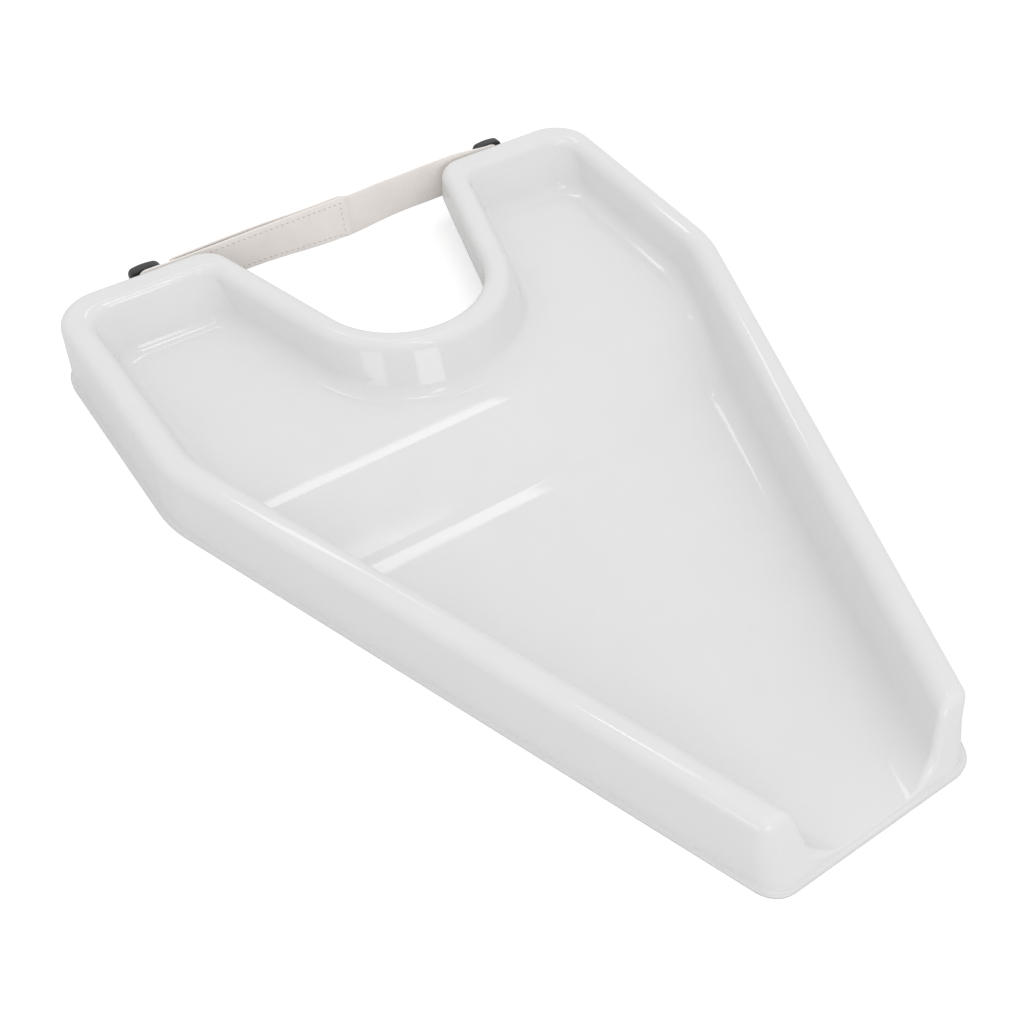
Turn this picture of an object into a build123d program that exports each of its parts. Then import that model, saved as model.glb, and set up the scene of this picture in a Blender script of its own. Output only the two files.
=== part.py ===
"""Hair-washing tray: a formed plastic basin with a neck cut-out, an open spout and a neck strap.

Frame: millimetres, +Z up. The tray stands on Z = 0 and X = 0 is its mirror plane. Y = 0 is the
middle of the whole length: the spout lip points to -Y and the two shoulder horns to +Y.
"""
from build123d import *
from math import atan, cos, radians, sin, sqrt, tan
import os

# ---- tray outline, measured on the outer walls at the base ----
LENGTH = 537.0
BEND_FROM_LIP = 361.0
HALF_BACK = 205.0
HALF_BEND = 200.0
HALF_SPOUT = 62.0
RIM_Z = 44.0
WALL = 3.0
SKIRT_DRAFT = 0.08
FLANGE = 2.5
SPOUT_SETBACK = 17.0

# ---- basin: two floor levels joined by a sloping step ----
UPPER_FLOOR_Z = 16.0
LOWER_FLOOR_Z = 4.0
STEP_TOP_FROM_LIP = 324.0
STEP_FOOT_FROM_LIP = 272.0
RIM_WIDTH = 20.0
SIDE_SLOPE = 0.21
BACK_SLOPE = 0.78

# ---- neck cut-out between the horns ----
SEAT_RADIUS = 57.0
SEAT_FROM_LIP = 444.0
NECK_FLARE = radians(16.8)
NECK_RIM_WIDTH = 16.5
NECK_SLOPE = 0.45
RELIEF_TOP_Z = 22.0
RELIEF_HALF = 172.0

# ---- corner and edge rounding ----
CORNER_BACK = 32.0
CORNER_BEND = 85.0
CORNER_SPOUT = 12.0
CORNER_BASIN = 20.0
HORN_CORNER = 20.0
RIM_ROUND = 7.0
HOLLOW_OUTER_ROUND = 2.0
HOLLOW_INNER_ROUND = 1.0
FLOOR_ROUND = 10.0
FOLD_ROUND = 12.0
POCKET_ROUND = 12.0

# ---- screw-on knobs that hold the strap ----
STUD_X = 133.5
STUD_Z = 35.0
STUD_RADIUS = 2.0
STUD_REACH = 9.0
STUD_IN_KNOB = 6.0
KNOB_LENGTH = 22.0
KNOB_HEIGHT = 15.0
KNOB_CROWN = 1.5
KNOB_THICK = 8.6
KNOB_GAP = 2.4
KNOB_CORNER = 4.5
KNOB_BACK_ROUND = 4.4
KNOB_FRONT_ROUND = 1.2
WASHER_RADIUS = 4.0
WASHER_THICK = 1.0
NUT_ACROSS_FLATS = 7.0
NUT_THICK = 3.2
RUNNING_GAP = 0.05
HOLE_GAP = 0.3

# ---- two-piece strap closed with hook-and-loop tape ----
STRAP_THICK = 1.6
STRAP_TOP_Z = 43.5
STRAP_WIDTH = 29.0
STRAP_STAND_OFF = 0.4
TAB_RADIUS = 7.5
TAB_TAPER = 38.0
LEFT_END_X = 12.8
RIGHT_END_X = -117.0
JOG_NEAR_X = 60.0
JOG_FAR_X = 22.0
STRAP_END_ROUND = 3.0
TAPE_THICK = 0.8
TAPE_WIDTH = 24.0
TAPE_INSET = 3.0
HOOK_LENGTH = 100.0
LOOP_LENGTH = 124.0
LAYER_GAP = 0.3

# ---- values that follow from the sizes above ----
BEYOND = 30.0
FRONT_Y = (FLANGE - LENGTH - KNOB_GAP - KNOB_THICK) / 2
BACK_Y = FRONT_Y + LENGTH
BEND_Y = FRONT_Y + BEND_FROM_LIP
STEP_TOP_Y = FRONT_Y + STEP_TOP_FROM_LIP
STEP_FOOT_Y = FRONT_Y + STEP_FOOT_FROM_LIP
SEAT_Y = FRONT_Y + SEAT_FROM_LIP
TAPER = atan((HALF_BEND - HALF_SPOUT) / BEND_FROM_LIP)
STRAP_Y = BACK_Y + STRAP_STAND_OFF
TAIL_Y = STRAP_Y + STRAP_THICK + 2 * TAPE_THICK + 3 * LAYER_GAP
MID_STRAP_Z = STRAP_TOP_Z - STRAP_WIDTH / 2


def save(piece, name):
    """Label one finished piece and write its STEP file."""
    piece.part.label = name
    export_step(piece.part, f"parts/{name}.step")


def facing_back(y):
    """Upright plane at y whose local axes are X and Z; a positive extrusion runs towards +Y."""
    return Plane(origin=(0, y, 0), x_dir=(-1, 0, 0), z_dir=(0, 1, 0))


def outline(z, side, back, front, radii):
    """Six-sided tray outline at height z, its edges standing side, back and front inside the base
    outline. radii are the rounding of the back corners, the bends and the spout corners."""
    slant = side / cos(TAPER)
    lip = FRONT_Y + front
    half_lip = HALF_SPOUT - slant + front * tan(TAPER)
    right = [(HALF_BACK - side, BACK_Y - back), (HALF_BEND - side, BEND_Y), (half_lip, lip)]
    left = [(-x, y) for x, y in reversed(right)]
    with BuildSketch(Plane.XY.offset(z)) as shape:
        with BuildLine():
            Polyline(*right, *left, close=True)
        make_face()
        for level, radius in zip((BACK_Y - back, BEND_Y, lip), radii):
            if radius > 0:
                fillet([v for v in shape.vertices() if abs(v.Y - level) < RUNNING_GAP], radius)
    return shape.sketch


def neck_outline(z, grow):
    """U-shaped neck opening at height z, grown outwards by grow and running past the back wall."""
    radius = SEAT_RADIUS + grow
    reach = BACK_Y + BEYOND
    touch_x = radius * cos(NECK_FLARE)
    touch_y = SEAT_Y - radius * sin(NECK_FLARE)
    mouth_x = touch_x + (reach - touch_y) * tan(NECK_FLARE)
    with BuildSketch(Plane.XY.offset(z)) as shape:
        with BuildLine():
            Line((touch_x, touch_y), (mouth_x, reach))
            Line((mouth_x, reach), (-mouth_x, reach))
            Line((-mouth_x, reach), (-touch_x, touch_y))
            ThreePointArc((-touch_x, touch_y), (0, SEAT_Y - radius), (touch_x, touch_y))
        make_face()
    return shape.sketch


def outer_form(inset, foot_z):
    """Drafted block of the tray's outside from foot_z up, inset all round and on top, with the
    neck opening cut through it and its top outer edges rounded."""
    top_z = RIM_Z - inset
    radii = (CORNER_BACK - inset, CORNER_BEND, CORNER_SPOUT - inset)
    rounding = HOLLOW_OUTER_ROUND if inset > 0 else RIM_ROUND

    def level(z):
        return outline(z, inset + SKIRT_DRAFT * z, inset, inset + SPOUT_SETBACK * z / RIM_Z, radii)

    with BuildPart() as form:
        loft([level(foot_z), level(top_z)], ruled=True)
        extrude(neck_outline(foot_z, inset), amount=top_z - foot_z, mode=Mode.SUBTRACT)
        back_edges = [e for e in form.edges() if abs(e.center().Y - BACK_Y + inset) < RUNNING_GAP]
        uprights = [e for e in back_edges if foot_z + 1 < e.center().Z < top_z - 1]
        fillet([e for e in uprights if abs(e.center().X) < STUD_X], HORN_CORNER - inset)
        fillet(form.faces().sort_by(Axis.Z)[-1].edges(), rounding)
    return form.part


def basin(grow):
    """Space inside the tray, running out through the spout, with all its walls moved outwards by
    grow. The two floors and the step between them are rounded into the walls."""
    top_z = RIM_Z + 1
    low_z = LOWER_FLOOR_Z - grow
    high_z = UPPER_FLOOR_Z - grow
    side_grow = grow * sqrt(1 + SIDE_SLOPE**2)
    back_grow = grow * sqrt(1 + BACK_SLOPE**2)
    neck_grow = grow * sqrt(1 + NECK_SLOPE**2)
    foot_y = FRONT_Y - BEYOND

    def level(z):
        drop = RIM_Z - z
        side = RIM_WIDTH + SIDE_SLOPE * drop - side_grow
        back = RIM_WIDTH + BACK_SLOPE * drop - back_grow
        return outline(z, side, back, -BEYOND, (CORNER_BASIN + grow, CORNER_BEND, 0))

    def island(z):
        return neck_outline(z, NECK_RIM_WIDTH + NECK_SLOPE * (RIM_Z - z) - neck_grow)

    with BuildPart() as space:
        loft([level(low_z), level(top_z)], ruled=True)
        loft([island(low_z), island(top_z)], ruled=True, mode=Mode.SUBTRACT)
        with BuildSketch(Plane.YZ.offset(-HALF_BACK)):
            with BuildLine():
                Polyline(
                    (foot_y, low_z),
                    (STEP_FOOT_Y, low_z),
                    (STEP_TOP_Y, high_z),
                    (BACK_Y, high_z),
                    (BACK_Y, top_z),
                    (foot_y, top_z),
                    close=True,
                )
            make_face()
        extrude(amount=2 * HALF_BACK, mode=Mode.INTERSECT)
        slanted = [e for e in space.edges() if high_z + 1 < e.center().Z < top_z - 1]
        pockets = [e for e in slanted if abs(e.center().X) < RELIEF_HALF - BEYOND and e.center().Y > SEAT_Y]
        fillet(pockets, POCKET_ROUND)
        folds = [e for e in space.edges() if abs(e.center().X) < 1 and abs(e.center().Z - low_z) < 1]
        folds += [e for e in space.edges() if abs(e.center().X) < 1 and abs(e.center().Z - high_z) < 1]
        folds = [e for e in folds if STEP_FOOT_Y - 1 < e.center().Y < STEP_TOP_Y + 1]
        fillet(folds, FOLD_ROUND)
        low_edges = [e for e in space.edges() if e.center().Z < high_z + 1 and e.center().Y > foot_y + 1]
        across = [e for e in low_edges if abs(e.center().X) < 1 and e.center().Y < STEP_TOP_Y + BEYOND]
        fillet([e for e in low_edges if e not in across], FLOOR_ROUND)
    return space.part


def rim_inner_edges(block, space, z):
    """Edges at height z where the top face of block meets the basin wall of space."""
    level_edges = [e for e in block.edges() if abs(e.center().Z - z) < RUNNING_GAP]
    return [e for e in level_edges if space.distance_to(Vertex(*e.position_at(0.5))) < RUNNING_GAP]


def tray_hollow():
    """Hollow underside: what is left between the inset outside and the thickened basin walls."""
    block = outer_form(WALL, -1)
    wide_space = basin(WALL)
    with BuildPart() as hollow:
        add(block)
        add(wide_space, mode=Mode.SUBTRACT)
        fillet(rim_inner_edges(hollow, wide_space, RIM_Z - WALL), HOLLOW_INNER_ROUND)
    return hollow.part


def make_tray():
    """The formed basin: outer block with a foot flange, less the basin, the hollow underside, the
    relief under the neck skirt and the two stud holes."""
    block = outer_form(0, 0)
    space = basin(0)
    hollow = tray_hollow()
    foot = outline(0, -FLANGE, 0, -FLANGE, (CORNER_BACK, CORNER_BEND, CORNER_SPOUT))
    opening = neck_outline(0, 0)
    skirt_ring = neck_outline(-1, WALL + RUNNING_GAP)
    with BuildPart() as tray:
        add(block)
        extrude(foot, amount=FLANGE)
        extrude(opening, amount=RIM_Z, mode=Mode.SUBTRACT)
        add(space, mode=Mode.SUBTRACT)
        fillet(rim_inner_edges(tray, space, RIM_Z), RIM_ROUND)
        add(hollow, mode=Mode.SUBTRACT)
        extrude(skirt_ring, amount=RELIEF_TOP_Z + 1, mode=Mode.SUBTRACT)
        with BuildSketch(facing_back(BACK_Y - WALL - RUNNING_GAP)):
            with Locations((0, -RELIEF_TOP_Z)):
                Rectangle(2 * RELIEF_HALF, 4 * RELIEF_TOP_Z)
        extrude(amount=WALL + 1, mode=Mode.SUBTRACT)
        with BuildSketch(facing_back(BACK_Y - WALL - 1)):
            with Locations((-STUD_X, STUD_Z), (STUD_X, STUD_Z)):
                Circle(STUD_RADIUS + HOLE_GAP)
        extrude(amount=WALL + 2, mode=Mode.SUBTRACT)
    save(tray, "tray")


def make_knob(name, x):
    """Oblong finger knob with crowned long sides, a well-rounded back and a blind hole for its stud."""
    half = KNOB_LENGTH / 2
    top, bottom = STUD_Z + KNOB_HEIGHT / 2, STUD_Z - KNOB_HEIGHT / 2
    with BuildPart() as knob:
        with BuildSketch(facing_back(BACK_Y + KNOB_GAP)) as outline_face:
            with BuildLine():
                ThreePointArc((-x - half, top - KNOB_CROWN), (-x, top), (-x + half, top - KNOB_CROWN))
                Line((-x + half, top - KNOB_CROWN), (-x + half, bottom + KNOB_CROWN))
                ThreePointArc((-x + half, bottom + KNOB_CROWN), (-x, bottom), (-x - half, bottom + KNOB_CROWN))
                Line((-x - half, bottom + KNOB_CROWN), (-x - half, top - KNOB_CROWN))
            make_face()
            fillet(outline_face.vertices(), KNOB_CORNER)
        extrude(amount=KNOB_THICK)
        fillet(knob.faces().sort_by(Axis.Y)[-1].edges(), KNOB_BACK_ROUND)
        fillet(knob.faces().sort_by(Axis.Y)[0].edges(), KNOB_FRONT_ROUND)
        with BuildSketch(facing_back(BACK_Y + KNOB_GAP)):
            with Locations((-x, STUD_Z)):
                Circle(STUD_RADIUS + RUNNING_GAP)
        extrude(amount=STUD_IN_KNOB, mode=Mode.SUBTRACT)
    save(knob, name)


def make_stud(name, x):
    """Threaded stud, drawn plain, from inside the knob through strap, wall, washer and nut."""
    with BuildPart() as stud:
        with BuildSketch(facing_back(BACK_Y - STUD_REACH)):
            with Locations((-x, STUD_Z)):
                Circle(STUD_RADIUS)
        extrude(amount=STUD_REACH + KNOB_GAP + STUD_IN_KNOB - HOLE_GAP)
    save(stud, name)


def make_washer(name, x):
    """Flat washer on the inner face of the back wall."""
    with BuildPart() as washer:
        with BuildSketch(facing_back(BACK_Y - WALL - LAYER_GAP - WASHER_THICK)):
            with Locations((-x, STUD_Z)):
                Circle(WASHER_RADIUS)
                Circle(STUD_RADIUS + HOLE_GAP, mode=Mode.SUBTRACT)
        extrude(amount=WASHER_THICK)
    save(washer, name)


def make_nut(name, x):
    """Hexagon nut behind the washer."""
    with BuildPart() as nut:
        with BuildSketch(facing_back(BACK_Y - WALL - 2 * LAYER_GAP - WASHER_THICK - NUT_THICK)):
            with Locations((-x, STUD_Z)):
                RegularPolygon(NUT_ACROSS_FLATS / 2, 6, major_radius=False)
                Circle(STUD_RADIUS + RUNNING_GAP, mode=Mode.SUBTRACT)
        extrude(amount=NUT_THICK)
    save(nut, name)


def strap_profile(y, side, length):
    """Flat outline at y of one strap half seen from behind: a round tab about the stud, widening
    to the full strap. side is +1 for the half on the left stud and -1 for the other one."""
    stud = side * STUD_X
    full = stud - side * TAB_TAPER
    end = stud - side * length
    low_z = STRAP_TOP_Z - STRAP_WIDTH
    with BuildSketch(facing_back(y)) as profile:
        with BuildLine():
            Polyline(
                (stud, STUD_Z + TAB_RADIUS),
                (full, STRAP_TOP_Z),
                (end, STRAP_TOP_Z),
                (end, low_z),
                (full, low_z),
                (stud, STUD_Z - TAB_RADIUS),
            )
            ThreePointArc(
                (stud, STUD_Z - TAB_RADIUS),
                (stud + side * TAB_RADIUS, STUD_Z),
                (stud, STUD_Z + TAB_RADIUS),
            )
        make_face()
        fillet(profile.vertices().group_by(Axis.X)[0 if side > 0 else -1], STRAP_END_ROUND)
        with Locations((stud, STUD_Z)):
            Circle(STUD_RADIUS + RUNNING_GAP, mode=Mode.SUBTRACT)
    return profile.sketch


def make_left_strap():
    """Half strap on the left stud, flat along the back wall."""
    profile = strap_profile(STRAP_Y, 1, STUD_X + LEFT_END_X)
    with BuildPart() as strap:
        extrude(profile, amount=STRAP_THICK)
    save(strap, "strap_left")


def make_right_strap():
    """Half strap on the right stud: it steps back in the middle to lie behind the left half."""
    profile = strap_profile(STRAP_Y - 1, -1, STUD_X - RIGHT_END_X)
    root_x = STUD_X + 2 * TAB_RADIUS
    near = [(root_x, STRAP_Y), (JOG_NEAR_X, STRAP_Y), (JOG_FAR_X, TAIL_Y), (RIGHT_END_X - 1, TAIL_Y)]
    far = [(x, y + STRAP_THICK) for x, y in reversed(near)]
    with BuildPart() as strap:
        with BuildSketch(Plane.XY):
            with BuildLine():
                Polyline(*near, *far, close=True)
            make_face()
        extrude(amount=2 * RIM_Z)
        bends = [e for e in strap.edges().filter_by(Axis.Z) if JOG_FAR_X - 1 < e.center().X < JOG_NEAR_X + 1]
        fillet(bends, STRAP_WIDTH)
        extrude(profile, amount=TAIL_Y + STRAP_THICK - STRAP_Y + 2, mode=Mode.INTERSECT)
    save(strap, "strap_right")


def make_tape(name, y, centre_x, length):
    """Strip of hook or loop tape along the middle of the strap."""
    with BuildPart() as tape:
        with BuildSketch(facing_back(y)):
            with Locations((-centre_x, MID_STRAP_Z)):
                RectangleRounded(length, TAPE_WIDTH, STRAP_END_ROUND - 1)
        extrude(amount=TAPE_THICK)
    save(tape, name)


os.makedirs("parts", exist_ok=True)
make_tray()
for side_name, side_x in (("left", -STUD_X), ("right", STUD_X)):
    make_knob(f"knob_{side_name}", side_x)
    make_stud(f"stud_{side_name}", side_x)
    make_washer(f"washer_{side_name}", side_x)
    make_nut(f"nut_{side_name}", side_x)
make_left_strap()
make_right_strap()
hook_x = LEFT_END_X - TAPE_INSET - HOOK_LENGTH / 2
loop_x = RIGHT_END_X + TAPE_INSET + LOOP_LENGTH / 2
make_tape("hook_tape", STRAP_Y + STRAP_THICK + LAYER_GAP, hook_x, HOOK_LENGTH)
make_tape("loop_tape", TAIL_Y - LAYER_GAP - TAPE_THICK, loop_x, LOOP_LENGTH)
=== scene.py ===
"""Looks of the hair-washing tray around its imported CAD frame. Metres, +Z up, spout towards -Y."""
import math

import bmesh
import bpy
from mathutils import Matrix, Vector, geometry


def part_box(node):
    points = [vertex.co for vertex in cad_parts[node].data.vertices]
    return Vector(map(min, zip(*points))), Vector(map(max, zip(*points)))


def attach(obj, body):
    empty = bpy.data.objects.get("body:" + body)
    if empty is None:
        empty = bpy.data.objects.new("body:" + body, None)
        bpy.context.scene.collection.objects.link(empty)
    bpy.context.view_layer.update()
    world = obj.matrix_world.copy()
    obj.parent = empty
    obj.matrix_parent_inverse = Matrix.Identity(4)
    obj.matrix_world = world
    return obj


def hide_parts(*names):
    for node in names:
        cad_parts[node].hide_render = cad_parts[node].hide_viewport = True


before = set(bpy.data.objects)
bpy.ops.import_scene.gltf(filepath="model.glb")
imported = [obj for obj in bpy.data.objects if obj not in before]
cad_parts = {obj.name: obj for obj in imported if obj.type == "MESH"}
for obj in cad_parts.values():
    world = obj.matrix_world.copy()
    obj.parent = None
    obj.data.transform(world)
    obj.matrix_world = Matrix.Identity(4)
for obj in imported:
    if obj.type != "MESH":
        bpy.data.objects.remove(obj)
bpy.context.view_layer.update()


# ---------------------------------------------------------------- materials
WARP_SCALE = 260.0
WEFT_SCALE = 190.0
STEEL_LIGHT, STEEL_MIDDLE, STEEL_DARK = (0.70, 0.70, 0.68), (0.62, 0.62, 0.60), (0.50, 0.50, 0.47)


def new_material(name, color, roughness):
    """Principled material of one colour; returns (material, nodes, links, shader)."""
    material = bpy.data.materials.new(name)
    material.use_nodes = True
    nodes = material.node_tree.nodes
    links = material.node_tree.links
    shader = nodes["Principled BSDF"]
    shader.inputs["Base Color"].default_value = (*color, 1.0)
    shader.inputs["Roughness"].default_value = roughness
    return material, nodes, links, shader


def noise_texture(nodes, links, place, scale, detail):
    """Noise in object coordinates; a scale of 1 makes features about a metre wide."""
    noise = nodes.new("ShaderNodeTexNoise")
    noise.inputs["Scale"].default_value = scale
    noise.inputs["Detail"].default_value = detail
    links.new(place.outputs["Object"], noise.inputs["Vector"])
    return noise


def bump_from(nodes, links, source, strength, distance):
    """Bump node with source as its height."""
    bump = nodes.new("ShaderNodeBump")
    bump.inputs["Strength"].default_value = strength
    bump.inputs["Distance"].default_value = distance
    links.new(source, bump.inputs["Height"])
    return bump


def tint(nodes, links, shader, factor, dark, light, low, high):
    """Colours the shader between dark and light as factor goes from low to high."""
    ramp = nodes.new("ShaderNodeValToRGB")
    ramp.color_ramp.elements[0].position = low
    ramp.color_ramp.elements[0].color = (*dark, 1.0)
    ramp.color_ramp.elements[1].position = high
    ramp.color_ramp.elements[1].color = (*light, 1.0)
    links.new(factor, ramp.inputs["Fac"])
    links.new(ramp.outputs["Color"], shader.inputs["Base Color"])


def plastic_material(name, light, dark, roughness):
    """Glossy formed sheet: slow waves left by forming, fine orange peel, uneven gloss and tone."""
    material, nodes, links, shader = new_material(name, light, roughness)
    shader.inputs["Specular IOR Level"].default_value = 0.5
    place = nodes.new("ShaderNodeTexCoord")
    waves = noise_texture(nodes, links, place, 16.0, 1.0)
    peel = noise_texture(nodes, links, place, 420.0, 2.0)
    slow = bump_from(nodes, links, waves.outputs["Fac"], 0.5, 0.0003)
    fine = bump_from(nodes, links, peel.outputs["Fac"], 0.03, 0.0002)
    links.new(slow.outputs["Normal"], fine.inputs["Normal"])
    links.new(fine.outputs["Normal"], shader.inputs["Normal"])
    cloud = noise_texture(nodes, links, place, 34.0, 6.0)
    tint(nodes, links, shader, cloud.outputs["Fac"], dark, light, 0.35, 0.65)
    gloss = nodes.new("ShaderNodeMapRange")
    gloss.inputs["From Min"].default_value = 0.3
    gloss.inputs["From Max"].default_value = 0.7
    gloss.inputs["To Min"].default_value = roughness - 0.02
    gloss.inputs["To Max"].default_value = roughness + 0.03
    links.new(cloud.outputs["Fac"], gloss.inputs["Value"])
    links.new(gloss.outputs["Result"], shader.inputs["Roughness"])
    return material


def assign(obj, material):
    """Gives every material slot of obj this material."""
    if not obj.material_slots:
        obj.data.materials.append(material)
    for slot in obj.material_slots:
        slot.material = material


def webbing_material(name, light, dark):
    """Fine woven cloth: warp ribs along X crossed by weft ribs along Z, with uneven colour."""
    material, nodes, links, shader = new_material(name, light, 0.85)
    place = nodes.new("ShaderNodeTexCoord")
    threads = []
    for axis, scale in (("X", WARP_SCALE), ("Z", WEFT_SCALE)):
        wave = nodes.new("ShaderNodeTexWave")
        wave.wave_type = "BANDS"
        wave.bands_direction = axis
        wave.inputs["Scale"].default_value = scale
        wave.inputs["Distortion"].default_value = 0.6
        wave.inputs["Detail"].default_value = 1.0
        links.new(place.outputs["Object"], wave.inputs["Vector"])
        threads.append(wave)
    weave = nodes.new("ShaderNodeMath")
    weave.operation = "MULTIPLY"
    links.new(threads[0].outputs["Fac"], weave.inputs[0])
    links.new(threads[1].outputs["Fac"], weave.inputs[1])
    bump = bump_from(nodes, links, weave.outputs["Value"], 0.35, 0.0002)
    links.new(bump.outputs["Normal"], shader.inputs["Normal"])
    cloud = noise_texture(nodes, links, place, 45.0, 5.0)
    spread = nodes.new("ShaderNodeMath")
    spread.operation = "MULTIPLY_ADD"
    spread.inputs[1].default_value = 0.25
    links.new(weave.outputs["Value"], spread.inputs[0])
    links.new(cloud.outputs["Fac"], spread.inputs[2])
    tint(nodes, links, shader, spread.outputs["Value"], dark, light, 0.3, 0.75)
    shader.inputs["Sheen Weight"].default_value = 0.15
    return material


def pile_material(name, light, dark, scale, depth):
    """Hook or loop face: a dense field of small tufts."""
    material, nodes, links, shader = new_material(name, light, 0.95)
    place = nodes.new("ShaderNodeTexCoord")
    tufts = nodes.new("ShaderNodeTexVoronoi")
    tufts.inputs["Scale"].default_value = scale
    tufts.inputs["Randomness"].default_value = 0.55
    links.new(place.outputs["Object"], tufts.inputs["Vector"])
    bump = bump_from(nodes, links, tufts.outputs["Distance"], 0.8, depth)
    bump.invert = True
    links.new(bump.outputs["Normal"], shader.inputs["Normal"])
    tint(nodes, links, shader, tufts.outputs["Distance"], light, dark, 0.1, 0.7)
    shader.inputs["Sheen Weight"].default_value = 0.3
    return material


def grained_material(name, light, dark, roughness, scale, depth):
    """Moulded plastic with a fine spark-eroded grain and slightly uneven gloss."""
    material, nodes, links, shader = new_material(name, light, roughness)
    place = nodes.new("ShaderNodeTexCoord")
    grain = noise_texture(nodes, links, place, scale, 4.0)
    bump = bump_from(nodes, links, grain.outputs["Fac"], 0.3, depth)
    links.new(bump.outputs["Normal"], shader.inputs["Normal"])
    cloud = noise_texture(nodes, links, place, scale / 12, 3.0)
    tint(nodes, links, shader, cloud.outputs["Fac"], dark, light, 0.35, 0.65)
    uneven = nodes.new("ShaderNodeMapRange")
    uneven.inputs["To Min"].default_value = roughness - 0.08
    uneven.inputs["To Max"].default_value = roughness + 0.08
    links.new(cloud.outputs["Fac"], uneven.inputs["Value"])
    links.new(uneven.outputs["Result"], shader.inputs["Roughness"])
    return material


def steel_material(name):
    """Zinc-plated steel: fine turning marks across the stud's line and a mottled gloss."""
    material, nodes, links, shader = new_material(name, STEEL_MIDDLE, 0.32)
    shader.inputs["Metallic"].default_value = 1.0
    place = nodes.new("ShaderNodeTexCoord")
    marks = nodes.new("ShaderNodeTexWave")
    marks.wave_type = "BANDS"
    marks.bands_direction = "Y"
    marks.inputs["Scale"].default_value = 450.0
    marks.inputs["Distortion"].default_value = 1.5
    links.new(place.outputs["Object"], marks.inputs["Vector"])
    bump = bump_from(nodes, links, marks.outputs["Fac"], 0.25, 0.0001)
    links.new(bump.outputs["Normal"], shader.inputs["Normal"])
    spots = noise_texture(nodes, links, place, 900.0, 2.0)
    gloss = nodes.new("ShaderNodeMapRange")
    gloss.inputs["To Min"].default_value = 0.22
    gloss.inputs["To Max"].default_value = 0.45
    links.new(spots.outputs["Fac"], gloss.inputs["Value"])
    links.new(gloss.outputs["Result"], shader.inputs["Roughness"])
    tint(nodes, links, shader, spots.outputs["Fac"], STEEL_DARK, STEEL_LIGHT, 0.3, 0.7)
    return material


TRAY_LIGHT, TRAY_DARK = (0.765, 0.768, 0.766), (0.757, 0.759, 0.756)
KNOB_LIGHT, KNOB_DARK = (0.030, 0.030, 0.031), (0.018, 0.018, 0.019)
WEB_LIGHT, WEB_DARK = (0.94, 0.89, 0.855), (0.88, 0.825, 0.785)
# Hook tape grey: partly the tape's own tone, partly painted shade of the narrow gap between the
# strap layers, where its top edge shows above the left half.
HOOK_LIGHT_WITH_GAP_SHADE, HOOK_DARK_WITH_GAP_SHADE = (0.50, 0.49, 0.47), (0.30, 0.29, 0.28)
LOOP_LIGHT, LOOP_DARK = (0.66, 0.64, 0.61), (0.48, 0.46, 0.44)
THREAD_LIGHT, THREAD_DARK = (0.62, 0.54, 0.50), (0.52, 0.44, 0.40)
tray_plastic = plastic_material("tray_plastic_look", TRAY_LIGHT, TRAY_DARK, 0.065)
knob_plastic = grained_material("knob_plastic_look", KNOB_LIGHT, KNOB_DARK, 0.38, 1500.0, 0.0001)
steel = steel_material("steel_look")
webbing = webbing_material("webbing_look", WEB_LIGHT, WEB_DARK)
# The hook tape's darker grey carries painted shade of the gap between the strap layers.
hook_pile_with_gap_shade = pile_material("hook_tape_with_painted_gap_shade_look", HOOK_LIGHT_WITH_GAP_SHADE, HOOK_DARK_WITH_GAP_SHADE, 900.0, 0.0003)
loop_pile = pile_material("loop_tape_look", LOOP_LIGHT, LOOP_DARK, 600.0, 0.0004)
thread = webbing_material("thread_look", THREAD_LIGHT, THREAD_DARK)
for node_name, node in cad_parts.items():
    if node_name == "tray":
        assign(node, tray_plastic)
    elif node_name.startswith("knob"):
        assign(node, knob_plastic)
    elif node_name.startswith("strap"):
        assign(node, webbing)
    elif node_name.startswith("hook"):
        assign(node, hook_pile_with_gap_shade)
    elif node_name.startswith("loop"):
        assign(node, loop_pile)
    else:
        assign(node, steel)


# ---------------------------------------------------------------- tray shell
MM = 0.001
tray_low, tray_high = (Vector(corner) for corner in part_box("tray"))
FLANGE = 2.5 * MM
SHEET = 2.5 * MM
FRONT = tray_low.y + FLANGE
BACK = tray_high.y
RIM = tray_high.z
HALF_BACK = 205 * MM
HALF_BEND = 200 * MM
HALF_SPOUT = 62 * MM
BEND = FRONT + 361 * MM
UPPER_FLOOR = 16 * MM
LOWER_FLOOR = 4 * MM
STEP_TOP = FRONT + 324 * MM
STEP_FOOT = FRONT + 272 * MM
FOLD_SOFTNESS = 4 * MM
FOLD_LEAD = 9 * MM
FOLD_EDGE = 1 * MM
LEAD_SLOPE = 0.035
SPOUT_RUN = 140 * MM
SEAT_RADIUS = 57 * MM
SEAT = FRONT + 444 * MM
FLARE = math.radians(16.8)
DRAFT = 0.08
CAP_LEAN = 0.386
RELIEF_FOOT = 22 * MM
RELIEF_HEM = RELIEF_FOOT + 2 * MM
HEM_CORNER = 11 * MM
BEND_RADIUS = 85 * MM
CORNER_RADIUS = 32 * MM
HORN_RADIUS = 20 * MM
LEAST_CORNER = 17 * MM
LEAST_HORN = 13 * MM
BACK_FLOOR_ROUND = 13 * MM
NECK_SIDE_FLOOR_ROUND = 11 * MM
NECK_FRONT_FLOOR_ROUND = 12 * MM
SIDE_FLOOR_ROUND = 14 * MM
SPOUT_SLOPE_LOSS = 0.08
FIRST_STATION = FRONT + 34 * MM
FLOOR_STEPS = 12
RIM_WIDTH = 20 * MM
NECK_RIM_WIDTH = 16.5 * MM
SIDE_SLOPE = 0.21
BACK_SLOPE = 0.78
NECK_SIDE_SLOPE = 0.25
NECK_FRONT_SLOPE = 0.58
OUTER_ROUND = 7 * MM
INNER_ROUND = 8.5 * MM
HEM_ROUND = 0.6 * MM
LEAST_REACH = 0.3 * MM
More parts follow.
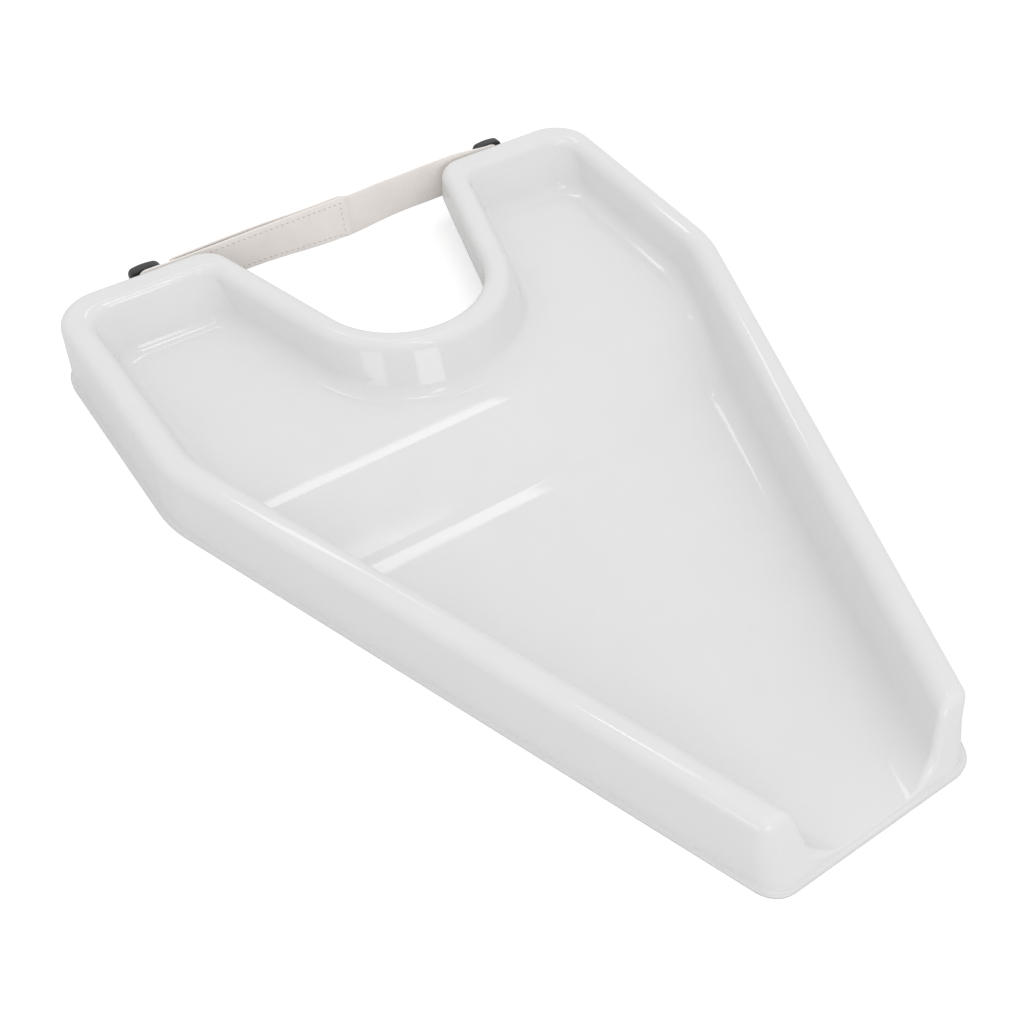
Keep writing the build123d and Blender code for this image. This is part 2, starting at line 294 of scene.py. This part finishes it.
FLOOR_ROUND_CHANGE = 4 * MM
CAP_ROUND = 5 * MM
CAP_FADE = 20 * MM
CAP_LEAST_ROUND = 0.7 * MM
CAP_ROUND_RISE = 0.6
BACK_FOOT = 0.2 * MM
BEND_TIGHTENING = 0.3
CORNER_STEPS = (3, 7, 8, 9)
RUN_STEPS = (1, 3, 2, 3)
CAP_STEPS = 6
TAPER_STEPS = 24
FOLD_STEP = 1.5 * MM
MOST_FOLD_STEPS = 6
BEND_STEPS = 12
SIDE_STEPS = 8
BACK_CORNER_STEPS = 14
BACK_STEPS = 9
RELIEF_STEPS = 3
HORN_STEPS = 12
NECK_STEPS = 8
SEAT_STEPS = 26
HEM_ROWS = CORNER_STEPS[0] + 2
TAPER = math.atan((HALF_BEND - HALF_SPOUT) / (BEND - FRONT))


def smooth(u):
    """Eased step from 0 to 1 as u goes from 0 to 1."""
    u = min(max(u, 0.0), 1.0)
    return u * u * (3 - 2 * u)


def arc_points(toward, corner, onward, reach, steps):
    """Circular arc that rounds a corner; toward and onward point along its two arms."""
    weight = math.cos((math.pi - toward.angle(onward)) / 2)
    start = corner + toward * reach
    end = corner + onward * reach
    points = []
    for i in range(steps + 1):
        u = i / steps
        shares = ((1 - u) ** 2, 2 * u * (1 - u) * weight, u * u)
        points.append((start * shares[0] + corner * shares[1] + end * shares[2]) / sum(shares))
    return points


def rounded_path(corners, radii):
    """Section through the corner points with each inner corner rounded, ending where the last
    rounding ends."""
    path = [corners[0]]
    for i, radius in enumerate(radii):
        before, corner, after = corners[i : i + 3]
        toward = (before - corner).normalized()
        onward = (after - corner).normalized()
        reach = max(radius * math.tan((math.pi - toward.angle(onward)) / 2), LEAST_REACH)
        arc = arc_points(toward, corner, onward, reach, CORNER_STEPS[i])
        for step in range(1, RUN_STEPS[i]):
            path.append(path[-1].lerp(arc[0], 1 / (RUN_STEPS[i] - step + 1)))
        path += arc
    return path


def section(start, hem, draft, rim, slope, floor, floor_round):
    """Cross-section of the wall as (inward distance, height) points from its foot over the rim and
    down to the floor."""
    inner_foot = rim + slope * (RIM - floor)
    corners = [start, hem, (draft * RIM, RIM), (rim, RIM), (inner_foot, floor), (1.0, floor)]
    radii = (HEM_ROUND, OUTER_ROUND, INNER_ROUND, floor_round)
    return rounded_path([Vector(c) for c in corners], radii)


def fold_knots():
    """(y, slope) corners of the floor's slope curve: the flat dips slightly before the foot of the
    step, and the upper flat starts to fall slightly before the top of it."""
    fixed = [
        (STEP_FOOT - FOLD_SOFTNESS - FOLD_LEAD, 0.0),
        (STEP_FOOT - FOLD_SOFTNESS - FOLD_LEAD + FOLD_EDGE, -0.3 * LEAD_SLOPE),
        (STEP_FOOT - FOLD_SOFTNESS, -LEAD_SLOPE),
        (STEP_FOOT + FOLD_SOFTNESS, None),
        (STEP_TOP - FOLD_SOFTNESS, None),
        (STEP_TOP + FOLD_SOFTNESS, LEAD_SLOPE),
        (STEP_TOP + FOLD_SOFTNESS + FOLD_LEAD - FOLD_EDGE, 0.3 * LEAD_SLOPE),
        (STEP_TOP + FOLD_SOFTNESS + FOLD_LEAD, 0.0),
    ]
    fixed_rise, free_run = 0.0, 0.0
    for (y0, slope0), (y1, slope1) in zip(fixed, fixed[1:]):
        for slope in (slope0, slope1):
            if slope is None:
                free_run += (y1 - y0) / 2
            else:
                fixed_rise += slope * (y1 - y0) / 2
    steep = (UPPER_FLOOR - LOWER_FLOOR - fixed_rise) / free_run
    return [(y, steep if slope is None else slope) for y, slope in fixed]


FOLDS = fold_knots()


def floor_height(y):
    """Height of the basin floor at y, by adding up the slope curve."""
    height = LOWER_FLOOR
    for (y0, slope0), (y1, slope1) in zip(FOLDS, FOLDS[1:]):
        run = min(max(y - y0, 0.0), y1 - y0)
        height += slope0 * run + (slope1 - slope0) * run ** 2 / (2 * (y1 - y0))
    return height


def side_section(y):
    """Cross-section of a side wall: its inner face stands steeper, on a larger rounding, towards
    the spout."""
    floor = floor_height(y)
    upper_share = (floor - LOWER_FLOOR) / (UPPER_FLOOR - LOWER_FLOOR)
    spout_share = smooth((FRONT + SPOUT_RUN - y) / SPOUT_RUN)
    floor_round = SIDE_FLOOR_ROUND + FLOOR_ROUND_CHANGE * (spout_share - upper_share)
    slope = SIDE_SLOPE - SPOUT_SLOPE_LOSS * spout_share
    start, hem = (-FLANGE, FLANGE), (DRAFT * FLANGE, FLANGE)
    return section(start, hem, DRAFT, RIM_WIDTH, slope, floor, floor_round)


def taper_x(y, inset):
    """Half width at y of the tapered part, inset from the outside of its wall."""
    return HALF_SPOUT + (y - FRONT) * math.tan(TAPER) - inset / math.cos(TAPER)


def taper_column(y):
    """One station of the tapered part: the side section stood across at constant y."""
    return [Vector((taper_x(y, inset), y, z)) for inset, z in side_section(y)]


def cap_radius(index, z):
    """How far the rounding at the spout end reaches at one row of the section."""
    if index < HEM_ROWS:
        return HEM_CORNER
    if index < RIM_ROW:
        return CAP_ROUND * (1 + smooth((RIM - z) / CAP_FADE))
    return min(CAP_ROUND, CAP_LEAST_ROUND + CAP_ROUND_RISE * (z - LOWER_FLOOR))


def spout_columns():
    """Columns that round the wall's end over onto the sloped cap, from the cap inwards."""
    profile = side_section(FRONT)
    ends = []
    for index, (inset, z) in enumerate(profile):
        y = FRONT + DRAFT * FLANGE + CAP_LEAN * (z - FLANGE)
        if index < HEM_ROWS - 1:
            y = FRONT + inset
        ends.append(Vector((taper_x(y, inset), y, z)))
    along = Vector((math.tan(TAPER), 1, 0)).normalized()
    cap_normal = Vector((0, -1, CAP_LEAN)).normalized()
    arcs = []
    for index, end in enumerate(ends):
        tangent = ends[min(index + 1, len(ends) - 1)] - ends[max(index - 1, 0)]
        outward = tangent.cross(cap_normal).normalized()
        if index < HEM_ROWS:
            outward = Vector((1, 0, 0))
        reach = cap_radius(index, end.z)
        arcs.append(arc_points(-outward, end, along, reach, CAP_STEPS))
    return [list(column) for column in zip(*arcs)]


def line(point, direction, inset):
    """A line as (point, direction), moved inset to the left of its direction."""
    direction = Vector(direction).normalized()
    return Vector(point) + Vector((-direction.y, direction.x)) * inset, direction


def meet(a, b):
    """Where two lines cross."""
    cross = a[1].x * b[1].y - a[1].y * b[1].x
    gap = b[0] - a[0]
    return a[0] + a[1] * ((gap.x * b[1].y - gap.y * b[1].x) / cross)


def corner_arc(a, b, radius, steps):
    """Arc that rounds the corner where line a meets line b."""
    corner = meet(a, b)
    toward, onward = -a[1], b[1]
    reach = radius * math.tan((math.pi - toward.angle(onward)) / 2)
    return arc_points(toward, corner, onward, reach, steps)


def lifted(points, start_z, end_z):
    """Plan points given heights that blend from start_z to end_z."""
    last = len(points) - 1
    heights = [start_z + (end_z - start_z) * smooth(i / last) for i in range(last + 1)]
    return [Vector((p.x, p.y, z)) for p, z in zip(points, heights)]


def between(a, b, steps):
    """The points strictly between a and b."""
    return [a.lerp(b, i / steps) for i in range(1, steps)]


def upper_row(index, sections):
    """One row of the right half from the bend round the horn to the middle of the neck seat."""
    side, back_full, back, neck_side, neck_front = (s[index] for s in sections)
    taper_line = line((HALF_BEND, BEND), (math.sin(TAPER), math.cos(TAPER)), side.x)
    side_line = line((HALF_BEND, BEND), (HALF_BACK - HALF_BEND, BACK - BEND), side.x)
    back_line = line((HALF_BACK, BACK), (-1, 0), back.x)
    shift = (neck_front.x - neck_side.x) / (1 - math.sin(FLARE))
    radius = SEAT_RADIUS + neck_side.x - shift * math.sin(FLARE)
    centre = Vector((0, SEAT - shift))
    touch = centre + radius * Vector((math.cos(FLARE), -math.sin(FLARE)))
    neck_line = (touch, Vector((-math.sin(FLARE), -math.cos(FLARE))))
    bend_radius = BEND_RADIUS - BEND_TIGHTENING * side.x
    bend = lifted(corner_arc(taper_line, side_line, bend_radius, BEND_STEPS), side.y, side.y)
    corner_radius = max(CORNER_RADIUS - side.x, LEAST_CORNER)
    corner = corner_arc(side_line, back_line, corner_radius, BACK_CORNER_STEPS)
    corner = lifted(corner, side.y, back_full.y)
    horn = corner_arc(back_line, neck_line, max(HORN_RADIUS - back.x, LEAST_HORN), HORN_STEPS)
    horn = lifted(horn, back.y, neck_side.y)
    angles = [-FLARE - (math.pi / 2 - FLARE) * i / SEAT_STEPS for i in range(SEAT_STEPS + 1)]
    seat = [centre + radius * Vector((math.cos(a), math.sin(a))) for a in angles]
    seat = lifted(seat, neck_side.y, neck_front.y)
    edge = between(corner[-1], horn[0], BACK_STEPS)
    for i, point in enumerate(edge):
        point.z = back_full.y + (back.y - back_full.y) * smooth((i + 1) / RELIEF_STEPS)
    row = bend + between(bend[-1], corner[0], SIDE_STEPS) + corner + edge
    return row + horn + between(horn[-1], seat[0], NECK_STEPS) + seat


def upright_section(foot, hem, rim, slope, floor_round):
    """Cross-section of a wall that is upright outside and comes down to the upper floor."""
    return section((0, foot), (0, hem), 0, rim, slope, UPPER_FLOOR, floor_round)


def half_columns():
    """All columns of the right half, from the cap at the spout to the middle of the neck seat."""
    run = FOLDS[0][0] - FIRST_STATION
    stations = [FIRST_STATION + run * i / TAPER_STEPS for i in range(TAPER_STEPS)]
    for (y0, _), (y1, _) in zip(FOLDS, FOLDS[1:]):
        steps = min(MOST_FOLD_STEPS, math.ceil((y1 - y0) / FOLD_STEP))
        stations += [y0 + (y1 - y0) * i / steps for i in range(steps)]
    stations.append(FOLDS[-1][0])
    columns = spout_columns() + [taper_column(y) for y in stations]
    floor_end = len(columns) - 1
    relief = (RELIEF_FOOT, RELIEF_HEM)
    sections = (
        side_section(BEND),
        upright_section(BACK_FOOT, FLANGE, RIM_WIDTH, BACK_SLOPE, BACK_FLOOR_ROUND),
        upright_section(*relief, RIM_WIDTH, BACK_SLOPE, BACK_FLOOR_ROUND),
        upright_section(*relief, NECK_RIM_WIDTH, NECK_SIDE_SLOPE, NECK_SIDE_FLOOR_ROUND),
        upright_section(*relief, NECK_RIM_WIDTH, NECK_FRONT_SLOPE, NECK_FRONT_FLOOR_ROUND),
    )
    rows = [upper_row(index, sections) for index in range(len(sections[0]))]
    columns += [list(column) for column in zip(*rows)]
    return columns, floor_end


def make_tray():
    """The whole formed sheet as one grid of sections, with the floor, the cap and the spout flange
    filled in, thickened by a Solidify modifier."""
    columns, floor_end = half_columns()
    mirrored = [[Vector((-p.x, p.y, p.z)) for p in column] for column in reversed(columns[:-1])]
    columns += mirrored
    rows = len(columns[0])
    last = len(columns) - 1
    vertices = [p for column in columns for p in column]

    def at(column, row):
        """Index of the grid vertex in this column and row."""
        return column * rows + row

    faces = []
    for c in range(last):
        for r in range(rows - 1):
            faces.append((at(c, r), at(c + 1, r), at(c + 1, r + 1), at(c, r + 1)))
    floor_lines = []
    for c in range(floor_end + 1):
        right, left = columns[c][-1], columns[last - c][-1]
        inner = []
        for i in range(1, FLOOR_STEPS):
            inner.append(len(vertices))
            vertices.append(right.lerp(left, i / FLOOR_STEPS))
        floor_lines.append([at(c, rows - 1), *inner, at(last - c, rows - 1)])
    for a, b in zip(floor_lines, floor_lines[1:]):
        for i in range(FLOOR_STEPS):
            faces.append((a[i], b[i], b[i + 1], a[i + 1]))
    around = [at(c, rows - 1) for c in range(floor_end, last - floor_end + 1)]
    faces.append(tuple(around + list(reversed(floor_lines[-1][1:-1]))))
    right_cap = [at(0, r) for r in range(HEM_ROWS - 1, rows)]
    left_cap = [at(last, r) for r in range(rows - 1, HEM_ROWS - 2, -1)]
    faces.append(tuple(right_cap + floor_lines[0][1:-1] + left_cap))
    for r in range(HEM_ROWS - 1):
        faces.append((at(0, r), at(0, r + 1), at(last, r + 1), at(last, r)))
    mesh = bpy.data.meshes.new("tray_shell")
    mesh.from_pydata(vertices, [], faces)
    mesh.shade_smooth()
    shell = bpy.data.objects.new("tray_shell", mesh)
    bpy.context.scene.collection.objects.link(shell)
    thick = shell.modifiers.new("sheet", "SOLIDIFY")
    thick.thickness = SHEET
    thick.offset = -1
    thick.use_even_offset = True
    shading = shell.modifiers.new("shading", "WEIGHTED_NORMAL")
    shading.keep_sharp = True
    assign(shell, tray_plastic)
    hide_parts("tray")
    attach(shell, "basin")
    return shell


RIM_ROW = next(i for i, (inset, z) in enumerate(side_section(FRONT)) if inset > 0.5 * RIM_WIDTH)
make_tray()


# ---------------------------------------------------------------- strap halves, tapes and stitches
def middle(node):
    """Centre of a CAD node's box."""
    low, high = (Vector(corner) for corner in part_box(node))
    return (low + high) / 2


left_low, left_high = (Vector(corner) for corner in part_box("strap_left"))
right_low = Vector(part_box("strap_right")[0])
hook_low, hook_high = (Vector(corner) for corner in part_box("hook_tape"))
loop_low, loop_high = (Vector(corner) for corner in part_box("loop_tape"))
STUD_LEFT = middle("stud_left")
STUD_RIGHT = middle("stud_right")
WEB = 1.2 * MM
TAPE = 0.5 * MM
LAYER_GAP = 0.05 * MM
TAB_HALF = 6.8 * MM
TAB_TAPER = 36 * MM
LEAN = 4.5 * MM
LEAN_HALF = 62 * MM
STRAP_RISE = 0.018
HOLE_RADIUS = 2.2 * MM
HOLE_POINTS = 20
SHEET_STEP = 3 * MM
STITCH_PITCH = 4 * MM
TAIL_BEHIND = WEB + 2 * TAPE + 3 * LAYER_GAP
TAIL_SPREAD = 1.6 * MM
TAIL_STEPS_BACK = (46 * MM, 28 * MM)
TAIL_SPREADS = (-10 * MM, 50 * MM)
TAIL_CLOSES = (-75 * MM, 42 * MM)
CLOSING_SHARE = 0.35
TAIL_DROP = 0.9
LOW_DROP_RUN = 10 * MM
HIGH_DROP_LEAD = 4 * MM
HIGH_DROP_RUN = 6 * MM
LEAN_CENTRE = 2 * MM
LEFT_END_ROUND = 1 * MM
RIGHT_END_ROUND = 3 * MM
TAPE_ROUND = 2 * MM
TAB_STEPS = 16
ROUND_STEPS = 5
SEAM_FROM_TOP = 4 * MM
SEAM_FROM_FOOT = 3 * MM
SEAM_FROM_END = 1.5 * MM
STITCH_RINGS = ((-0.95, 0.1), (-0.7, 0.24), (0, 0.3), (0.7, 0.24), (0.95, 0.1))
STITCH_SIDES = 6


def lean(x):
    """How far forward the lower edge hangs at x."""
    u = (x - LEAN_CENTRE) / LEAN_HALF
    return LEAN * math.cos(u * math.pi / 2) ** 2 if abs(u) < 1 else 0.0


def done_at(x, change):
    """Share of a change (start, run) that is done at x, going towards -X."""
    start, run = change
    return smooth((start - x) / run)


def tail_behind(x):
    """How far behind the left half the right half runs at x."""
    spread = done_at(x, TAIL_SPREADS) - CLOSING_SHARE * done_at(x, TAIL_CLOSES)
    return TAIL_BEHIND * done_at(x, TAIL_STEPS_BACK) + TAIL_SPREAD * spread


def strap_edges(x, stud):
    """Lower and upper edge of a strap half at x: a narrow tab at its stud widens to the full band.
    Beside the end of the left half the right half is lowered by most of its distance behind it,
    so that the edges of the two run on in the camera's view."""
    share = smooth(abs(x - stud.x) / TAB_TAPER)
    low, high = left_low.z, left_high.z + STRAP_RISE * x
    if stud is STUD_RIGHT:
        drop = TAIL_DROP * tail_behind(x)
        low -= drop * smooth(x / LOW_DROP_RUN)
        high -= drop * smooth((x - left_high.x + HIGH_DROP_LEAD) / HIGH_DROP_RUN)
    low += (1 - share) * (stud.z - TAB_HALF - low)
    high += (1 - share) * (stud.z + TAB_HALF - high)
    return low, high


def strap_y(x, z, behind):
    """Front face of a layer at (x, z), that lies behind the front of the left half."""
    high = left_high.z + STRAP_RISE * x
    return left_low.y + behind - lean(x) * (high - z) / (left_high.z - left_low.z)


def half_outline(stud, end, corner):
    """Closed outline of one strap half in X and Z, from its tab round to its square end."""
    inward = 1 if end > stud.x else -1
    arc = [math.pi / 2 + math.pi * i / TAB_STEPS for i in range(TAB_STEPS + 1)]
    outline = []
    for a in arc:
        x = stud.x + inward * TAB_HALF * math.cos(a)
        outline.append(Vector((x, stud.z + TAB_HALF * math.sin(a))))
    steps = round(abs(end - stud.x) / SHEET_STEP)
    stations = [stud.x + (end - inward * corner - stud.x) * i / steps for i in range(1, steps + 1)]
    lower = [Vector((x, strap_edges(x, stud)[0])) for x in stations]
    upper = [Vector((x, strap_edges(x, stud)[1])) for x in stations]
    low, high = strap_edges(end, stud)
    turn = [math.pi / 2 * i / ROUND_STEPS for i in range(1, ROUND_STEPS + 1)]
    round_low = []
    for a in turn:
        x = end - inward * corner * (1 - math.sin(a))
        round_low.append(Vector((x, low + corner * (1 - math.cos(a)))))
    round_high = [Vector((p.x, low + high - p.y)) for p in reversed(round_low)]
    return outline + lower + round_low + round_high + list(reversed(upper))


def tape_outline(low, high, corner):
    """Rounded rectangle in X and Z."""
    points = []
    corners = ((high.x, high.z), (low.x, high.z), (low.x, low.z), (high.x, low.z))
    for start, (cx, cz) in enumerate(corners):
        inward_x = corner if cx == low.x else -corner
        inward_z = corner if cz == low.z else -corner
        centre = Vector((cx + inward_x, cz + inward_z))
        turn = [math.pi / 2 * (start + i / ROUND_STEPS) for i in range(ROUND_STEPS + 1)]
        points += [centre + corner * Vector((math.cos(a), math.sin(a))) for a in turn]
    spaced = []
    for a, b in zip(points, points[1:] + points[:1]):
        spaced.append(a)
        spaced += between(a, b, max(1, round((b - a).length / SHEET_STEP)))
    return spaced


def inside(point, outline, margin):
    """True where point lies inside the outline and at least margin from every point of it."""
    crossings = 0
    for a, b in zip(outline, outline[1:] + outline[:1]):
        if (point - a).length < margin:
            return False
        if (a.y > point.y) != (b.y > point.y):
            crossings += point.x < a.x + (point.y - a.y) * (b.x - a.x) / (b.y - a.y)
    return crossings % 2 == 1


def make_sheet(name, outline, holes, behind, thickness):
    """Flat band cut to an outline, with round holes, bent to the strap's run by behind(x)."""
    points = list(outline)
    edges = [(i, (i + 1) % len(outline)) for i in range(len(outline))]
    for centre, radius in holes:
        start = len(points)
        for i in range(HOLE_POINTS):
            a = math.tau * i / HOLE_POINTS
            points.append(centre + radius * Vector((math.cos(a), math.sin(a))))
        edges += [(start + i, start + (i + 1) % HOLE_POINTS) for i in range(HOLE_POINTS)]
    low_x, high_x = min(p.x for p in outline), max(p.x for p in outline)
    low_z, high_z = min(p.y for p in outline), max(p.y for p in outline)
    for i in range(1, int((high_x - low_x) / SHEET_STEP)):
        for j in range(1, int((high_z - low_z) / SHEET_STEP) + 1):
            point = Vector((low_x + i * SHEET_STEP, low_z + j * SHEET_STEP - SHEET_STEP / 2))
            least = 0.4 * SHEET_STEP
            clear = all((point - centre).length > radius + least for centre, radius in holes)
            if clear and inside(point, outline, 0.6 * SHEET_STEP):
                points.append(point)
    verts, _, faces, _, _, _ = geometry.delaunay_2d_cdt(points, edges, [], 1, 1e-7)
    kept = []
    for face in faces:
        centroid = sum((verts[i] for i in face), Vector((0, 0))) / len(face)
        if all((centroid - centre).length > radius for centre, radius in holes):
            kept.append(face)
    mesh = bpy.data.meshes.new(name)
    mesh.from_pydata([(p.x, strap_y(p.x, p.y, behind(p.x)), p.y) for p in verts], [], kept)
    mesh.shade_smooth()
    sheet = bpy.data.objects.new(name, mesh)
    bpy.context.scene.collection.objects.link(sheet)
    body = sheet.modifiers.new("thickness", "SOLIDIFY")
    body.thickness = thickness
    body.offset = -1
    edge = sheet.modifiers.new("soft_edge", "BEVEL")
    edge.width = 0.3 * thickness
    edge.segments = 2
    edge.limit_method = "ANGLE"
    edge.angle_limit = math.radians(50)
    return sheet


def add_stitch(builder, centre, along, outward):
    """One thread stitch: a short bar with tapered ends that lies on the cloth."""
    across = along.cross(outward)
    rings = []
    for reach, radius in STITCH_RINGS:
        ring = []
        for i in range(STITCH_SIDES):
            a = math.tau * i / STITCH_SIDES
            offset = (across * math.cos(a) + outward * math.sin(a)) * radius * MM
            ring.append(builder.verts.new(centre + along * reach * MM + offset))
        rings.append(ring)
    for a, b in zip(rings, rings[1:]):
        for i in range(STITCH_SIDES):
            j = (i + 1) % STITCH_SIDES
            builder.faces.new((a[i], a[j], b[j], b[i]))
    builder.faces.new(list(reversed(rings[0])))
    builder.faces.new(rings[-1])


def make_stitches(name, low_x, high_x, layers, body):
    """A sewn rectangle of stitches on each face in layers, given as (behind function, outward
    sign)."""
    builder = bmesh.new()
    margins = SEAM_FROM_TOP + SEAM_FROM_FOOT
    along_count = round((high_x - low_x) / STITCH_PITCH)
    for behind, outward_sign in layers:
        outward = Vector((0, outward_sign, 0))
        spots = []
        for i in range(along_count + 1):
            x = low_x + (high_x - low_x) * i / along_count
            low, high = strap_edges(x, STUD_LEFT if x < 0 else STUD_RIGHT)
            spots.append((x, high - SEAM_FROM_TOP, Vector((1, 0, 0))))
            spots.append((x, low + SEAM_FROM_FOOT, Vector((1, 0, 0))))
        for x in (low_x, high_x):
            low, high = strap_edges(x, STUD_LEFT if x < 0 else STUD_RIGHT)
            count = round((high - low - margins) / STITCH_PITCH)
            for i in range(1, count):
                z = low + SEAM_FROM_FOOT + (high - low - margins) * i / count
                spots.append((x, z, Vector((0, 0, 1))))
        for x, z, along in spots:
            add_stitch(builder, Vector((x, strap_y(x, z, behind(x)), z)), along, outward)
    bmesh.ops.recalc_face_normals(builder, faces=builder.faces)
    mesh = bpy.data.meshes.new(name)
    builder.to_mesh(mesh)
    builder.free()
    mesh.shade_smooth()
    stitches = bpy.data.objects.new(name, mesh)
    bpy.context.scene.collection.objects.link(stitches)
    assign(stitches, thread)
    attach(stitches, body)


def left_run(x):
    """The left half is the reference that the other layers lie behind."""
    return 0.0


def hook_run(x):
    """The hook tape lies on the back of the left half."""
    return WEB + LAYER_GAP


def loop_run(x):
    """The loop tape lies on the front of the right half."""
    return tail_behind(x) - LAYER_GAP - TAPE


def make_strap():
    """Both halves of the strap with their tapes and stitching."""
    left_hole = (Vector((STUD_LEFT.x, STUD_LEFT.z)), HOLE_RADIUS)
    right_hole = (Vector((STUD_RIGHT.x, STUD_RIGHT.z)), HOLE_RADIUS)
    left_outline = half_outline(STUD_LEFT, left_high.x, LEFT_END_ROUND)
    right_outline = half_outline(STUD_RIGHT, right_low.x, RIGHT_END_ROUND)
    hook_outline = tape_outline(hook_low, hook_high, TAPE_ROUND)
    loop_outline = tape_outline(loop_low, loop_high, TAPE_ROUND)
    left = make_sheet("strap_left_web", left_outline, [left_hole], left_run, WEB)
    right = make_sheet("strap_right_web", right_outline, [right_hole], tail_behind, WEB)
    hook = make_sheet("hook_tape_strip", hook_outline, [], hook_run, TAPE)
    loop = make_sheet("loop_tape_strip", loop_outline, [], loop_run, TAPE)
    for piece, node, body, material, slot in (
        (left, "strap_left", "strap_left", webbing, "strap_web"),
        (right, "strap_right", "strap_right", webbing, "strap_web"),
        (hook, "hook_tape", "strap_left", hook_pile_with_gap_shade, "tape"),
        (loop, "loop_tape", "strap_right", loop_pile, "tape"),
    ):
        assign(piece, material)
        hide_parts(node)
        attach(piece, body)
    low_x, high_x = hook_low.x + SEAM_FROM_END, hook_high.x - SEAM_FROM_END
    hook_faces = ((left_run, -1), (lambda x: hook_run(x) + TAPE, 1))
    make_stitches("stitches_left", low_x, high_x, hook_faces, "strap_left")
    low_x, high_x = loop_low.x + SEAM_FROM_END, loop_high.x - SEAM_FROM_END
    loop_faces = ((loop_run, -1), (lambda x: tail_behind(x) + WEB, 1))
    make_stitches("stitches_right", low_x, high_x, loop_faces, "strap_right")


make_strap()


# ---------------------------------------------------------------- floor, lights and camera
FLOOR_HALF = 4.0
FLOOR_LEVEL = -0.0002
FLOOR_CORNERS = ((-1, -1), (1, -1), (1, 1), (-1, 1))
FLOOR_GREY = (0.60, 0.60, 0.60)
GLOW = 0.15
GLOW_TO_CAMERA = 0.40


def make_floor():
    """Pale plain floor. It glows a little, more so towards the camera, so that it stays near
    white."""
    mesh = bpy.data.meshes.new("floor")
    corners = [(FLOOR_HALF * x, FLOOR_HALF * y, FLOOR_LEVEL) for x, y in FLOOR_CORNERS]
    mesh.from_pydata(corners, [], [(0, 1, 2, 3)])
    floor = bpy.data.objects.new("floor", mesh)
    bpy.context.scene.collection.objects.link(floor)
    material, nodes, links, shader = new_material("floor_look", FLOOR_GREY, 0.7)
    paths = nodes.new("ShaderNodeLightPath")
    glow = nodes.new("ShaderNodeMath")
    glow.operation = "MULTIPLY_ADD"
    glow.inputs[1].default_value = GLOW_TO_CAMERA
    glow.inputs[2].default_value = GLOW
    links.new(paths.outputs["Is Camera Ray"], glow.inputs[0])
    links.new(glow.outputs["Value"], shader.inputs["Emission Strength"])
    shader.inputs["Emission Color"].default_value = (1, 1, 1, 1)
    mesh.materials.append(material)


def area_light(name, place, size, radiance, turn=None):
    """Rectangular soft light at place with this radiance on its face. It faces straight down when
    turn gives its angle about Z, and towards the tray otherwise."""
    data = bpy.data.lights.new(name, "AREA")
    data.shape = "RECTANGLE"
    data.size, data.size_y = size
    data.energy = radiance * math.pi * size[0] * size[1]
    light = bpy.data.objects.new(name, data)
    light.location = place
    light.rotation_euler = Vector(place).to_track_quat("Z", "Y").to_euler()
    if turn is not None:
        light.rotation_euler = (0.0, 0.0, math.radians(turn))
    light.visible_camera = False
    bpy.context.scene.collection.objects.link(light)


make_floor()
area_light("back_strip", (0.52, 1.47, 1.80), (0.94, 0.20), 2.9, turn=0)
area_light("step_strip", (0.30, 0.355, 1.80), (0.52, 0.11), 2.4, turn=-8)
area_light("pocket_strip_back", (0.13, 0.25, 1.60), (0.16, 0.24), 3.4, turn=0)
area_light("pocket_strip_front", (0.13, -0.50, 1.60), (0.16, 0.50), 3.2, turn=0)
area_light("front_window", (-0.28, -1.62, 0.50), (0.70, 0.60), 1.9)
area_light("left_window", (-1.55, -0.85, 0.36), (0.60, 0.60), 1.4)


SKY_RAMPS = (("Z", 0.0, 0.6, 0.75, 0.95), ("X", -1.0, 1.0, 0.92, 1.06))


def make_world():
    """White surround, brighter overhead and slightly brighter on the +X side, pure white to the
    camera."""
    world = bpy.data.worlds.new("studio")
    world.use_nodes = True
    nodes = world.node_tree.nodes
    links = world.node_tree.links
    direction = nodes.new("ShaderNodeTexCoord")
    split = nodes.new("ShaderNodeSeparateXYZ")
    links.new(direction.outputs["Generated"], split.inputs["Vector"])
    product = nodes.new("ShaderNodeMath")
    product.operation = "MULTIPLY"
    for i, (axis, start, end, low, high) in enumerate(SKY_RAMPS):
        ramp = nodes.new("ShaderNodeMapRange")
        ramp.inputs["From Min"].default_value = start
        ramp.inputs["From Max"].default_value = end
        ramp.inputs["To Min"].default_value = low
        ramp.inputs["To Max"].default_value = high
        links.new(split.outputs[axis], ramp.inputs["Value"])
        links.new(ramp.outputs["Result"], product.inputs[i])
    paths = nodes.new("ShaderNodeLightPath")
    seen = nodes.new("ShaderNodeMath")
    seen.operation = "MAXIMUM"
    links.new(product.outputs["Value"], seen.inputs[0])
    links.new(paths.outputs["Is Camera Ray"], seen.inputs[1])
    links.new(seen.outputs["Value"], nodes["Background"].inputs["Strength"])
    nodes["Background"].inputs["Color"].default_value = (1.0, 1.0, 1.0, 1.0)
    bpy.context.scene.world = world


make_world()
bpy.context.scene.view_settings.view_transform = "Standard"

AZIMUTH = math.radians(-33.72)
ELEVATION = math.radians(48.63)
DISTANCE = 0.69872
TARGET = Vector((-0.0316, -0.01133, 0.0))
LENS = 42.19
SENSOR = 36.0
level = math.cos(ELEVATION)
back = Vector((math.sin(AZIMUTH) * level, -math.cos(AZIMUTH) * level, math.sin(ELEVATION)))
camera_data = bpy.data.cameras.new("camera")
camera_data.lens = LENS
camera_data.sensor_width = SENSOR
camera = bpy.data.objects.new("camera", camera_data)
camera.location = TARGET + back * DISTANCE
camera.rotation_euler = back.to_track_quat("Z", "Y").to_euler()
bpy.context.scene.collection.objects.link(camera)
bpy.context.scene.camera = camera
